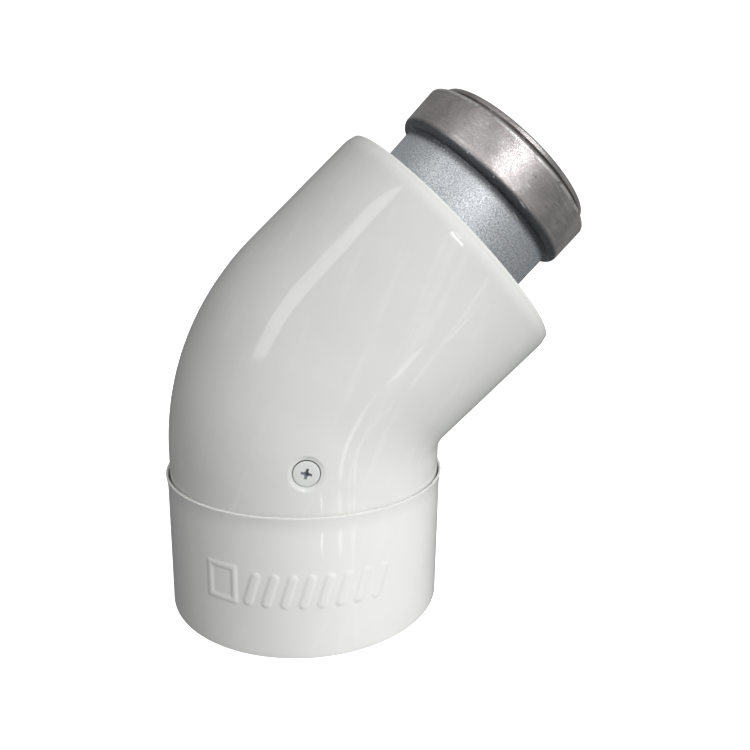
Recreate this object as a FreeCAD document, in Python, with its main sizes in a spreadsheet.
"""Concentric 45 degree flue elbow, 60/100 mm.

A bare cast flue stands inside a painted air duct, with a clamp around the duct's foot.
Frame: millimetres, +Z up. The origin is the centre of the clamp's lower edge. The lower ends stand
along Z, the bend lies in the XZ plane and the upper ends lean towards +X. The emblem and the first
fixing screw face -Y.
"""

import FreeCAD, Part
import math
import os
import re

import Sketcher

DIMENSIONS = {
    # how far cutting tools run past a face, and joined pieces run into each other
    "tool_over": (2.0, "overrun of a cutting tool"),
    "root_over": (1.0, "overlap of a rib or boss with the wall that it grows from"),
    # air duct elbow
    "duct_radius": (50.0, "outside of the air duct"),
    "duct_wall": (3.0, "cast wall of the air duct"),
    "duct_foot": (22.0, "height of the air duct's lower end, inside the clamp"),
    "duct_bend_start": (58.2, "height where the air duct starts to bend"),
    "duct_bend_radius": (55.0, "bend radius at the air duct's centre line"),
    "duct_bend_angle": (45.0, "turn of the air duct, degrees"),
    "duct_arm": (51.4, "straight arm after the bend"),
    "nose_round": (3.0, "rounding of the arm's outer end edge"),
    "nose_bore": (44.0, "bore radius inside the nose"),
    "nose_depth": (5.0, "straight length of the nose bore"),
    "foot_chamfer": (1.0, "lead-in on the air duct's lower end"),
    # flue elbow
    "flue_radius": (30.0, "outside of the flue spigot"),
    "flue_bore": (27.5, "bore radius of the flue"),
    "flue_bend_start": (59.7, "height where the flue starts to bend"),
    "flue_bend_radius": (52.63, "bend radius at the flue's centre line"),
    "flue_bend_angle": (41.6, "turn of the flue, degrees"),
    "flue_arm": (90.9, "length from the end of the flue's bend to the socket's mouth"),
    "spigot_chamfer": (1.5, "lead-in on the spigot"),
    "socket_depth": (50.0, "insertion depth of the socket"),
    "socket_bore": (30.3, "bore radius of the socket"),
    "neck_radius": (32.75, "outside of the socket's neck"),
    "cone_slope": (2.0, "length of the cone below the neck per millimetre of radius"),
    "stop_slope": (1.0, "length of the slope at the bottom of the socket"),
    "mouth_chamfer": (0.7, "lead-in of the socket"),
    "bead_radius": (35.9, "outside of the bead that holds the lip seal"),
    "bead_back": (18.8, "from the mouth down to the bead's back shoulder"),
    "bead_round": (2.4, "rounding of the bead's back shoulder"),
    "neck_fillet": (0.6, "fillet between neck and bead"),
    "bead_front": (3.7, "from the mouth down to the end of the bead's cylinder"),
    "lip_step": (2.0, "from the mouth down to the small step under the end lip"),
    "lip_radius": (32.3, "outside of the end lip"),
    "lip_undercut": (0.2, "depth of the line under the end lip"),
    "lip_line": (0.1, "height of the line's lower side above the step"),
    "lip_shoulder": (0.4, "height of the line's upper side above the step"),
    "lip_round": (0.7, "rounding of the end lip"),
    "groove_radius": (33.6, "bottom of the seal groove"),
    "groove_top": (5.0, "from the mouth down to the seal groove"),
    "groove_width": (10.0, "width of the seal groove"),
    "rib_reach": (40.5, "centring ribs, from the flue's axis to their tips"),
    "rib_corner": (2.0, "height of the slanted corners at a rib's ends"),
    "rib_ramp": (3.0, "length of the slanted corners"),
    "rib_thick": (3.0, "thickness of a centring rib"),
    "rib_low": (41.0, "lower end of the ribs, from the end of the flue's bend"),
    "rib_high": (55.0, "upper end of the ribs, from the end of the flue's bend"),
    # lip seal
    "seal_clearance": (0.1, "between the seal and its groove"),
    "seal_back": (1.7, "thickness of the seal's back"),
    "seal_lip": (1.6, "thickness of each lip"),
    "seal_edge": (0.5, "bevel across the upper lip's edge"),
    "seal_lead": (0.8, "bevel along the upper lip's edge"),
    "seal_upper": (2.6, "from the seal's top to the root of the upper lip, without the lip"),
    "seal_web": (3.4, "from the seal's top to the root of the lower lip, without the upper lip"),
    "seal_lower": (2.4, "from the seal's lower end to the tip of the lower lip"),
    # fixing screws, M4 countersunk
    "screw_height": (63.5, "height of both fixing screws"),
    "screw_seat": (49.55, "distance of the flat seat from the Z axis"),
    "seat_radius": (5.4, "radius of the flat seat"),
    "sink_radius": (4.65, "radius of the countersink at the seat"),
    "screw_hole": (2.25, "clearance hole in the air duct"),
    "head_radius": (4.15, "radius of the screw head"),
    "head_rim": (49.5, "distance of the head's rim from the Z axis"),
    "head_top": (49.78, "distance of the head's top from the Z axis"),
    "shank_radius": (2.0, "M4 shank"),
    "tap_clearance": (0.05, "radial clearance of the shank in its boss"),
    "screw_tip": (35.4, "distance of the screw's tip from the Z axis"),
    "screw_lead": (0.7, "chamfer of the screw's tip"),
    "rim_height": (0.1, "straight rim of the head"),
    "head_bevel": (0.25, "bevel of the head's rim"),
    "head_crown": (0.7, "from the head's rim to its flat top"),
    "crown_drop": (0.05, "drop of the head's top towards its rim"),
    "recess_span": (4.0, "span of the cross recess"),
    "recess_wing": (0.8, "width of a recess wing"),
    "recess_depth": (1.7, "depth of the cross recess"),
    "recess_point": (0.6, "how far the recess's middle goes below its wings"),
    "recess_core_low": (0.5, "radius of the recess's middle at its bottom"),
    "recess_core_high": (1.0, "radius of the recess's middle at its top"),
    "core_over": (0.2, "overrun of the recess's middle above the head"),
    "recess_turn": (-14.0, "turn of the cross recess, degrees"),
    "boss_radius": (3.6, "screw boss on the flue"),
    "boss_reach": (46.4, "distance of the boss's end from the Z axis"),
    "boss_root": (28.6, "where the boss starts, inside the flue's wall"),
    "boss_hole_end": (33.6, "blind end of the threaded hole"),
    "ring_gap": (0.025, "clearance on each side of the sealing ring under a head"),
    "ring_low": (1.9, "from the flat seat down to the ring's inner end"),
    "ring_high": (0.3, "from the flat seat down to the ring's outer end"),
    # duct clamp
    "band_bore": (50.05, "inside of the clamp band"),
    "stop_low": (20.0, "lower side of the stop ring, where the next duct's end rests"),
    "stop_high": (21.9, "upper side of the stop ring, under the elbow's foot"),
    "stop_radius": (48.8, "inside of the stop ring"),
    "band_sheet": (0.8, "sheet thickness"),
    "band_height": (49.4, "height of the clamp band"),
    "flare_start": (44.0, "height where the upper edge starts to flare"),
    "flare_lag": (0.3, "how much higher the flare starts on the inside"),
    "flare_radius": (51.4, "outside of the flared edge"),
    "flare_round": (0.35, "rounding of the flared edge"),
    "split_half": (1.5, "half the gap between the clamp's ears"),
    "ear_low": (2.0, "lower end of the ears"),
    "ear_high": (43.0, "upper end of the ears"),
    "ear_reach": (62.5, "distance of the ears' edge from the Z axis"),
    "ear_round": (4.0, "corner radius of the ears"),
    "ear_root": (0.1, "how far the ears start outside the band's bore"),
    "closure_reach": (57.0, "distance of the clamp screws from the Z axis"),
    "closure_low": (11.5, "height of the lower clamp screw"),
    "closure_high": (33.5, "height of the upper clamp screw"),
    "closure_hole": (2.25, "screw holes in the ears"),
    "closure_shank": (2.0, "M4 clamp screw"),
    "closure_length": (12.0, "length of the clamp screw under its head"),
    "closure_lead": (0.6, "chamfer of the clamp screw's tip"),
    "pan_radius": (4.0, "pan head radius"),
    "slot_width": (1.1, "width of the slot in a pan head"),
    "slot_depth": (1.3, "depth of the slot in a pan head"),
    "pan_height": (3.1, "pan head height"),
    "pan_round": (1.6, "rounding of the pan head"),
    "washer_radius": (4.5, "washer radius"),
    "washer_bore": (2.15, "washer bore radius"),
    "washer_thick": (0.8, "washer thickness"),
    "nut_flat": (3.5, "half the nut's width across flats"),
    "nut_thick": (3.2, "nut thickness"),
    "nut_bore": (2.05, "nut bore radius"),
    # raised emblem on the clamp band
    "relief_height": (0.3, "height of the relief"),
    "relief_root": (0.3, "how far the relief starts inside the band's outer face"),
    "frame_left": (-32.0, "left side of the square frame"),
    "frame_right": (-22.5, "right side of the square frame"),
    "frame_line": (1.5, "line width of the frame"),
    "frame_low": (18.0, "lower side of the frame"),
    "frame_high": (31.0, "upper side of the frame"),
    "bar_first": (-17.5, "middle of the first bar"),
    "bar_pitch": (5.9, "distance between bars"),
    "bar_half": (1.25, "half the width of a bar"),
    "bar_low": (19.5, "centre of a bar's lower round end"),
    "bar_high": (28.5, "centre of a bar's upper round end"),
    "bar_slant": (1.3, "sideways shift of each end of a bar"),
}
BAR_COUNT = 8
RIB_ANGLES = (60.0, 180.0, 300.0)
FULL_TURN = 360.0

doc = FreeCAD.newDocument("flue_elbow")
sheet = doc.addObject("Spreadsheet::Sheet", "dims")
nodes = []


def fill_sheet():
    """One row per driving dimension: its name, its value under an alias, and what it is."""
    for row, (alias, (value, note)) in enumerate(DIMENSIONS.items(), start=1):
        sheet.set(f"A{row}", alias)
        sheet.set(f"B{row}", str(value))
        sheet.setAlias(f"B{row}", alias)
        sheet.set(f"C{row}", note)
    doc.recompute()


def formula(text):
    """A formula over dimension names, with each name pointed at its cell."""
    return re.sub(r"[a-z]+_[a-z_]+", lambda name: "dims." + name[0], str(text))


def number(text):
    """The present value of a formula."""
    return float(sheet.evalExpression(formula(text)))


def bind(thing, **sizes):
    """Binds properties of an object to formulas."""
    for prop, text in sizes.items():
        thing.setExpression(prop, formula(text))
    return thing


def place(thing, where=(0, 0, 0), turn=(0, 0, 0)):
    """Binds an object's Placement: where is x, y, z; turn is yaw, pitch, roll in degrees."""
    spots = "; ".join(str(part) for part in where)
    turns = "; ".join(str(part) for part in turn)
    thing.setExpression("Placement", formula(f"placement(vector({spots}); rotation({turns}))"))
    return thing


def new_sketch(body, plane):
    """An empty sketch on one of the body's own origin planes."""
    sketch = body.newObject("Sketcher::SketchObject", body.Name + "_sketch")
    support = next(item for item in body.Origin.OriginFeatures if item.Role == plane)
    sketch.AttachmentSupport = [(support, "")]
    sketch.MapMode = "FlatFace"
    return sketch


def arc_middle(start, end, radius):
    """The middle of the arc from start to end that bulges right of its travel, or left if radius < 0."""
    chord = end - start
    right = FreeCAD.Vector(chord.y, -chord.x, 0).normalize()
    half = chord.Length / 2
    rise = abs(radius) - math.sqrt(max(radius * radius - half * half, 0))
    return (start + end) * 0.5 + right * math.copysign(rise, radius)


def shape_arc(sketch, edge, radius, chord):
    """Fixes an arc whose ends are already fixed: a half circle by its centre, any other by its radius."""
    size = abs(number(radius))
    if math.isclose(chord, 2 * size):
        sketch.addConstraint(Sketcher.Constraint("Symmetric", edge, 1, edge, 2, edge, 3))
        return
    index = sketch.addConstraint(Sketcher.Constraint("Radius", edge, size))
    sketch.setExpression(f"Constraints[{index}]", formula(f"abs({radius})"))


def add_loop(sketch, outline):
    """Draws one closed outline with every corner bound to formulas.

    A corner is (x, y), reached by a line, or (x, y, radius), reached by an arc, which bulges to the
    right of the travel if the radius is positive and to the left if it is negative.
    """
    points = [FreeCAD.Vector(number(corner[0]), number(corner[1]), 0) for corner in outline]
    first = sketch.GeometryCount
    ends = []
    for step, corner in enumerate(outline):
        start, end = points[step - 1], points[step]
        if len(corner) == 3:
            middle = arc_middle(start, end, number(corner[2]))
            edge = sketch.addGeometry(Part.Arc(start, middle, end), False)
        else:
            edge = sketch.addGeometry(Part.LineSegment(start, end), False)
        gaps = [sketch.getPoint(edge, side).distanceToPoint(start) for side in (1, 2)]
        ends.append((1, 2) if gaps[0] < gaps[1] else (2, 1))
    for step, corner in enumerate(outline):
        edge, after = first + step, first + (step + 1) % len(outline)
        finish, begin = ends[step][1], ends[(step + 1) % len(outline)][0]
        sketch.addConstraint(Sketcher.Constraint("Coincident", edge, finish, after, begin))
        for kind, value, text in zip(("DistanceX", "DistanceY"), points[step], corner):
            index = sketch.addConstraint(Sketcher.Constraint(kind, -1, 1, edge, finish, value))
            sketch.setExpression(f"Constraints[{index}]", formula(text))
        if len(corner) == 3:
            shape_arc(sketch, edge, corner[2], points[step].distanceToPoint(points[step - 1]))


def lathe(label, outline):
    """A body turned about its own Z axis from an outline of (radius, height) corners."""
    body = doc.addObject("PartDesign::Body", label)
    sketch = new_sketch(body, "XZ_Plane")
    add_loop(sketch, outline)
    turned = body.newObject("PartDesign::Revolution", label + "_turned")
    turned.Profile = sketch
    turned.ReferenceAxis = (sketch, ["V_Axis"])
    turned.Angle = FULL_TURN
    return body


def plate(label, plane, loops, thickness, both_ways=False):
    """A body padded from outlines on one of its origin planes."""
    body = doc.addObject("PartDesign::Body", label)
    sketch = new_sketch(body, plane)
    for outline in loops:
        add_loop(sketch, outline)
    pad = body.newObject("PartDesign::Pad", label + "_pad")
    pad.Profile = sketch
    pad.Midplane = both_ways
    bind(pad, Length=thickness)
    return body


def rod(label, radius, low, high, turn=(0, 0, 0), where=(0, 0, 0)):
    """A cylinder along its own Z axis from low to high, then turned and moved to where."""
    cylinder = doc.addObject("Part::Cylinder", label)
    bind(cylinder, Radius=radius, Height=f"{high} - ({low})")
    yaw, pitch, roll = turn
    start = f"vector({where[0]}; {where[1]}; {where[2]})"
    tilt = f"rotation({yaw}; {pitch}; {roll})"
    moved = f"placement({start}; {tilt}) * placement(vector(0; 0; {low}); rotation(0; 0; 0))"
    cylinder.setExpression("Placement", formula(moved))
    return cylinder


def fuse(label, pieces):
    """All pieces as one solid."""
    joined = doc.addObject("Part::MultiFuse", label)
    joined.Shapes = pieces
    joined.Refine = True
    return joined


def cut(label, base, tool):
    """The base without the tool."""
    rest = doc.addObject("Part::Cut", label)
    rest.Base = base
    rest.Tool = tool
    rest.Refine = True
    return rest


def keep(thing, label):
    """Marks an object as a finished sub-part and gives it the node's name."""
    thing.Label = label
    nodes.append(thing)
    return thing


def bend(label, family, section):
    """The curved stretch of the duct or the flue, as a solid rod of the given section radius."""
    ring = doc.addObject("Part::Torus", label)
    bind(ring, Radius1=f"{family}_bend_radius", Radius2=section, Angle3=f"{family}_bend_angle")
    return place(ring, (f"{family}_bend_radius", 0, f"{family}_bend_start"), (180, 0, 90))


def to_arm(body, family, spin=0):
    """Turns a body about the Z axis, then moves it to the arm, which starts where the bend ends."""
    angle = f"{family}_bend_angle"
    across = f"{family}_bend_radius * (1 - cos({angle}))"
    up = f"{family}_bend_start + {family}_bend_radius * sin({angle})"
    lean = f"placement(vector({across}; 0; {up}); rotation(0; {angle}; 0))"
    turned = f"placement(vector(0; 0; 0); rotation({spin}; 0; 0))"
    body.setExpression("Placement", formula(f"{lean} * {turned}"))
    return body


def bent_pipe(label, family, section, bore, foot, arm):
    """Foot, bend and arm of an elbow as one pipe."""
    outside, inside = bend(label + "_outside", family, section), bend(label + "_inside", family, bore)
    curve = cut(label + "_curve", outside, inside)
    return [lathe(label + "_foot", foot), curve, to_arm(lathe(label + "_arm", arm), family)]


def outwards(side):
    """The turn that points a body's Z axis at -Y for side -1, or at +Y for side +1."""
    return (0, 0, -90 * side)


def screw_seat(side):
    """What a fixing screw's seat and hole remove from the air duct."""
    sink_end = "screw_seat - sink_radius + screw_hole"
    outline = [
        (0, "duct_radius - duct_wall - 2 * tool_over"),
        ("screw_hole", "duct_radius - duct_wall - 2 * tool_over"),
        ("screw_hole", sink_end),
        ("sink_radius", "screw_seat"),
        ("seat_radius", "screw_seat"),
        ("seat_radius", "duct_radius + tool_over"),
        (0, "duct_radius + tool_over"),
    ]
    tool = lathe("seat_front" if side < 0 else "seat_rear", outline)
    return place(tool, (0, 0, "screw_height"), outwards(side))


def outer_elbow():
    """The painted air duct: foot inside the clamp, bend, arm with a rounded nose, two screw seats."""
    bore = "duct_radius - duct_wall"
    foot = [
        (bore, "duct_foot"),
        ("duct_radius - foot_chamfer", "duct_foot"),
        ("duct_radius", "duct_foot + foot_chamfer"),
        ("duct_radius", "duct_bend_start"),
        (bore, "duct_bend_start"),
    ]
    arm = [
        (bore, 0),
        ("duct_radius", 0),
        ("duct_radius", "duct_arm - nose_round"),
        ("duct_radius - nose_round", "duct_arm", "nose_round"),
        ("nose_bore", "duct_arm"),
        ("nose_bore", "duct_arm - nose_depth"),
        (bore, f"duct_arm - nose_depth - ({bore} - nose_bore)"),
    ]
    pipe = fuse("duct_pipe", bent_pipe("duct", "duct", "duct_radius", bore, foot, arm))
    seats = fuse("duct_seats", [screw_seat(-1), screw_seat(1)])
    return keep(cut("outer_elbow", pipe, seats), "outer_elbow")


def flue_arm_outline():
    """The flue's arm: plain pipe, cone, neck, bead with its seal groove, and end lip."""
    mouth = "flue_arm"
    back = f"{mouth} - bead_back"
    socket_end = f"{mouth} - socket_depth"
    cone = "(neck_radius - flue_radius) * cone_slope"
    return [
        ("flue_bore", 0),
        ("flue_radius", 0),
        ("flue_radius", f"{socket_end} - {cone} - stop_slope"),
        ("neck_radius", f"{socket_end} - stop_slope"),
        ("neck_radius", f"{back} - neck_fillet"),
        ("neck_radius + neck_fillet", back, "-neck_fillet"),
        ("bead_radius - bead_round", back),
        ("bead_radius", f"{back} + bead_round", "bead_round"),
        ("bead_radius", f"{mouth} - bead_front"),
        ("lip_radius + lip_round", f"{mouth} - lip_step"),
        ("lip_radius - lip_undercut", f"{mouth} - lip_step + lip_line"),
        ("lip_radius", f"{mouth} - lip_step + lip_shoulder"),
        ("lip_radius", f"{mouth} - lip_round"),
        ("lip_radius - lip_round", mouth, "lip_round"),
        ("socket_bore + mouth_chamfer", mouth),
        ("socket_bore", f"{mouth} - mouth_chamfer"),
        ("socket_bore", f"{mouth} - groove_top"),
        ("groove_radius", f"{mouth} - groove_top"),
        ("groove_radius", f"{mouth} - groove_top - groove_width"),
        ("socket_bore", f"{mouth} - groove_top - groove_width"),
        ("socket_bore", socket_end),
        ("flue_bore", f"{socket_end} - stop_slope"),
    ]


def centring_rib(number_of, angle):
    """One cast rib that keeps the flue's arm clear of the air duct."""
    outline = [
        ("neck_radius - root_over", "rib_low"),
        ("rib_reach - rib_corner", "rib_low"),
        ("rib_reach", "rib_low + rib_ramp"),
        ("rib_reach", "rib_high - rib_ramp"),
        ("rib_reach - rib_corner", "rib_high"),
        ("neck_radius - root_over", "rib_high"),
    ]
    rib = plate(f"rib_{number_of}", "XZ_Plane", [outline], "rib_thick", both_ways=True)
    return to_arm(rib, "flue", angle)


def flue_elbow():
    """The bare cast flue: spigot, bend, socket, centring ribs and the two bosses for the fixing screws."""
    foot = [
        ("flue_bore", "duct_foot"),
        ("flue_radius - spigot_chamfer", "duct_foot"),
        ("flue_radius", "duct_foot + 2 * spigot_chamfer"),
        ("flue_radius", "flue_bend_start"),
        ("flue_bore", "flue_bend_start"),
    ]
    pieces = bent_pipe("flue", "flue", "flue_radius", "flue_bore", foot, flue_arm_outline())
    pieces += [centring_rib(count, angle) for count, angle in enumerate(RIB_ANGLES, start=1)]
    height = (0, 0, "screw_height")
    hole, over = "shank_radius + tap_clearance", "boss_reach + tool_over"
    holes = []
    for side, name in ((-1, "front"), (1, "rear")):
        turn = outwards(side)
        pieces.append(rod(f"boss_{name}", "boss_radius", "boss_root", "boss_reach", turn, height))
        holes.append(rod(f"tap_{name}", hole, "boss_hole_end", over, turn, height))
    return keep(cut("flue_elbow", fuse("flue_casting", pieces), fuse("flue_taps", holes)), "flue_elbow")


def flue_lip_seal():
    """The seal in the bead's groove: a back ring with two lips, pressed flush with the bore."""
    top = "flue_arm - groove_top - seal_clearance"
    low = "flue_arm - groove_top - groove_width + seal_clearance"
    outside = "groove_radius - seal_clearance"
    outline = [
        (outside, low),
        (outside, top),
        ("socket_bore + seal_edge", top),
        ("socket_bore", f"{top} - seal_lead"),
        ("socket_bore", f"{top} - seal_lead - seal_lip"),
        (f"{outside} - seal_back", f"{top} - seal_upper - seal_lip"),
        (f"{outside} - seal_back", f"{top} - seal_web - seal_lip"),
        ("socket_bore", f"{low} + seal_lower + seal_lip"),
        ("socket_bore", f"{low} + seal_lower"),
        (f"{outside} - seal_back", low),
    ]
    return keep(to_arm(lathe("flue_lip_seal", outline), "flue"), "flue_lip_seal")


def cross_recess(label):
    """The cross-shaped recess of a countersunk head, along the screw's own axis."""
    wings = []
    for turn in (0, 90):
        wing = doc.addObject("Part::Box", f"{label}_wing_{turn}")
        bind(wing, Length="recess_span", Width="recess_wing", Height="recess_depth + tool_over")
        corner = "vector(-recess_span / 2; -recess_wing / 2; head_top - recess_depth)"
        spin = f"placement(vector(0; 0; 0); rotation(recess_turn + {turn}; 0; 0))"
        wing.setExpression("Placement", formula(f"{spin} * placement({corner}; rotation(0; 0; 0))"))
        wings.append(wing)
    core = doc.addObject("Part::Cone", label + "_core")
    bind(core, Radius1="recess_core_low", Radius2="recess_core_high")
    bind(core, Height="recess_depth + recess_point + core_over")
    place(core, (0, 0, "head_top - recess_depth - recess_point"))
    return fuse(label, [*wings, core])


def fixing_screw(side, name):
    """A painted M4 countersunk screw through the air duct into the flue's boss."""
    cone_end = "head_rim - head_radius + shank_radius"
    outline = [
        (0, "screw_tip"),
        ("shank_radius - screw_lead", "screw_tip"),
        ("shank_radius", "screw_tip + screw_lead"),
        ("shank_radius", cone_end),
        ("head_radius", "head_rim"),
        ("head_radius", "head_rim + rim_height"),
        ("head_radius - head_bevel", "head_top - crown_drop"),
        ("head_radius - head_crown", "head_top"),
        (0, "head_top"),
    ]
    screw = cut(f"screw_{name}", lathe(f"blank_{name}", outline), cross_recess(f"recess_{name}"))
    place(screw, (0, 0, "screw_height"), outwards(side))
    return keep(screw, f"fixing_screw_{name}")


def screw_seal(side, name):
    """The thin conical ring between a head and its countersink."""
    inner = "head_radius - head_rim + ring_gap"
    outer = "sink_radius - screw_seat - ring_gap"
    low, high = "screw_seat - ring_low", "screw_seat - ring_high"
    outline = [
        (f"{inner} + {low}", low),
        (f"{outer} + {low}", low),
        (f"{outer} + {high}", high),
        (f"{inner} + {high}", high),
    ]
    ring = lathe(f"ring_{name}", outline)
    return keep(place(ring, (0, 0, "screw_height"), outwards(side)), f"screw_seal_{name}")


def emblem():
    """Plain relief on the front of the band: a square frame and a row of slanted bars."""
    frame = [("frame_left", "frame_low"), ("frame_right", "frame_low")]
    frame += [("frame_right", "frame_high"), ("frame_left", "frame_high")]
    window = [
        ("frame_left + frame_line", "frame_low + frame_line"),
        ("frame_right - frame_line", "frame_low + frame_line"),
        ("frame_right - frame_line", "frame_high - frame_line"),
        ("frame_left + frame_line", "frame_high - frame_line"),
    ]
    loops = [frame, window]
    for count in range(BAR_COUNT):
        middle = f"bar_first + {count} * bar_pitch"
        low, high = f"{middle} - bar_slant", f"{middle} + bar_slant"
        bar = [
            (f"{low} - bar_half", "bar_low"),
            (f"{low} + bar_half", "bar_low", "bar_half"),
            (f"{high} + bar_half", "bar_high"),
            (f"{high} - bar_half", "bar_high", "bar_half"),
        ]
        loops.append(bar)
    blocks = plate("emblem_blocks", "XZ_Plane", loops, "duct_radius + 5 * tool_over")
    outside = "band_bore + band_sheet"
    skin = [
        (f"{outside} - relief_root", "frame_low - tool_over"),
        (f"{outside} + relief_height", "frame_low - tool_over"),
        (f"{outside} + relief_height", "frame_high + tool_over"),
        (f"{outside} - relief_root", "frame_high + tool_over"),
    ]
    relief = doc.addObject("Part::Common", "emblem_relief")
    relief.Base = blocks
    relief.Tool = lathe("emblem_skin", skin)
    return relief


def clamp_ear(side, name):
    """One outward ear of the clamp band, beside the gap at the rear."""
    low, high, edge = "ear_low", "ear_high", "ear_reach"
    outline = [
        ("band_bore + ear_root", low),
        (f"{edge} - ear_round", low),
        (edge, f"{low} + ear_round", "ear_round"),
        (edge, f"{high} - ear_round"),
        (f"{edge} - ear_round", high, "ear_round"),
        ("band_bore + ear_root", high),
    ]
    ear = plate(f"ear_{name}", "YZ_Plane", [outline], "band_sheet")
    start = "split_half" if side > 0 else "-split_half - band_sheet"
    return place(ear, (start, 0, 0))


def clamp_band():
    """The sheet-metal clamp: flared upper edge, stop ring inside, raised emblem, two ears at the rear."""
    outside = "band_bore + band_sheet"
    outline = [
        ("band_bore", 0),
        (outside, 0),
        (outside, "flare_start"),
        ("flare_radius", "band_height - flare_round"),
        ("flare_radius - 2 * flare_round", "band_height - flare_round", "flare_round"),
        ("band_bore", "flare_start + flare_lag"),
        ("band_bore", "stop_high"),
        ("stop_radius", "stop_high"),
        ("stop_radius", "stop_low"),
        ("band_bore", "stop_low"),
    ]
    band = lathe("band_ring", outline)
    gap = doc.addObject("Part::Box", "band_gap")
    bind(gap, Length="2 * split_half", Width="6 * tool_over", Height="band_height + 2 * tool_over")
    place(gap, ("-split_half", "band_bore - 3 * tool_over", "-tool_over"))
    ears = [clamp_ear(-1, "left"), clamp_ear(1, "right")]
    whole = fuse("band_whole", [cut("band_split", band, gap), *ears, emblem()])
    reach = "split_half + band_sheet + tool_over"
    holes = []
    for name in ("low", "high"):
        spot = (0, "closure_reach", f"closure_{name}")
        holes.append(rod(f"ear_hole_{name}", "closure_hole", f"-({reach})", reach, (0, 90, 0), spot))
    return keep(cut("clamp_band", whole, fuse("ear_holes", holes)), "clamp_band")


def closure_place(thing, height):
    """Points a turned part's Z axis at +X on the axis of one clamp screw."""
    return place(thing, (0, "closure_reach", height), (0, 90, 0))


def clamp_fasteners(name, height):
    """Screw, washer and nut of one closure; their own Z axis starts at the middle of the gap."""
    face = "split_half + band_sheet"
    seat = f"{face} + washer_thick"
    top = f"{seat} + pan_height"
    screw = [
        (0, f"{seat} - closure_length"),
        ("closure_shank - closure_lead", f"{seat} - closure_length"),
        ("closure_shank", f"{seat} - closure_length + closure_lead"),
        ("closure_shank", seat),
        ("pan_radius", seat),
        ("pan_radius", f"{top} - pan_round"),
        ("pan_radius - pan_round", top, "pan_round"),
        (0, top),
    ]
    slot = doc.addObject("Part::Box", f"pan_slot_{name}")
    bind(slot, Length="slot_width", Width="2 * (pan_radius + tool_over)", Height="slot_depth + tool_over")
    place(slot, ("-slot_width / 2", "-pan_radius - tool_over", f"{top} - slot_depth"))
    driven = cut(f"pan_screw_{name}", lathe(f"pan_blank_{name}", screw), slot)
    keep(closure_place(driven, height), f"clamp_screw_{name}")
    washer = [("washer_bore", face), ("washer_radius", face), ("washer_radius", seat), ("washer_bore", seat)]
    keep(closure_place(lathe(f"washer_{name}", washer), height), f"clamp_washer_{name}")
    block = doc.addObject("Part::Prism", f"nut_block_{name}")
    block.Polygon = 6
    bind(block, Circumradius="nut_flat / cos(30)", Height="nut_thick")
    place(block, (0, 0, f"-({face}) - nut_thick"))
    nut_ends = (f"-({face}) - nut_thick - tool_over", f"-({face}) + tool_over")
    nut_hole = rod(f"nut_hole_{name}", "nut_bore", *nut_ends)
    nut = cut(f"nut_{name}", block, nut_hole)
    keep(closure_place(nut, height), f"clamp_nut_{name}")


def check_all():
    """Stops if any object failed, or if a sub-part is empty, invalid or more than one solid."""
    failed = [item.Name for item in doc.Objects if {"Invalid", "Error"} & set(item.State)]
    if failed:
        raise RuntimeError("failed objects: " + ", ".join(failed))
    for node in nodes:
        shape = node.Shape
        if shape.isNull() or not shape.isValid() or len(shape.Solids) != 1:
            raise RuntimeError(f"{node.Label}: {len(shape.Solids)} solids, valid {shape.isValid()}")


def export_all():
    """Writes each sub-part to its own STEP file."""
    os.makedirs("parts", exist_ok=True)
    for node in nodes:
        node.Shape.exportStep(f"parts/{node.Label}.step")
        box = node.Shape.BoundBox
        sizes = f"{box.XLength:.1f} x {box.YLength:.1f} x {box.ZLength:.1f} mm"
        print(f"{node.Label}: {node.Shape.Volume / 1000:.2f} cm3, {sizes}")


fill_sheet()
outer_elbow()
flue_elbow()
flue_lip_seal()
for screw_side, screw_name in ((-1, "front"), (1, "rear")):
    fixing_screw(screw_side, screw_name)
    screw_seal(screw_side, screw_name)
clamp_band()
clamp_fasteners("lower", "closure_low")
clamp_fasteners("upper", "closure_high")
doc.recompute()
check_all()
export_all()
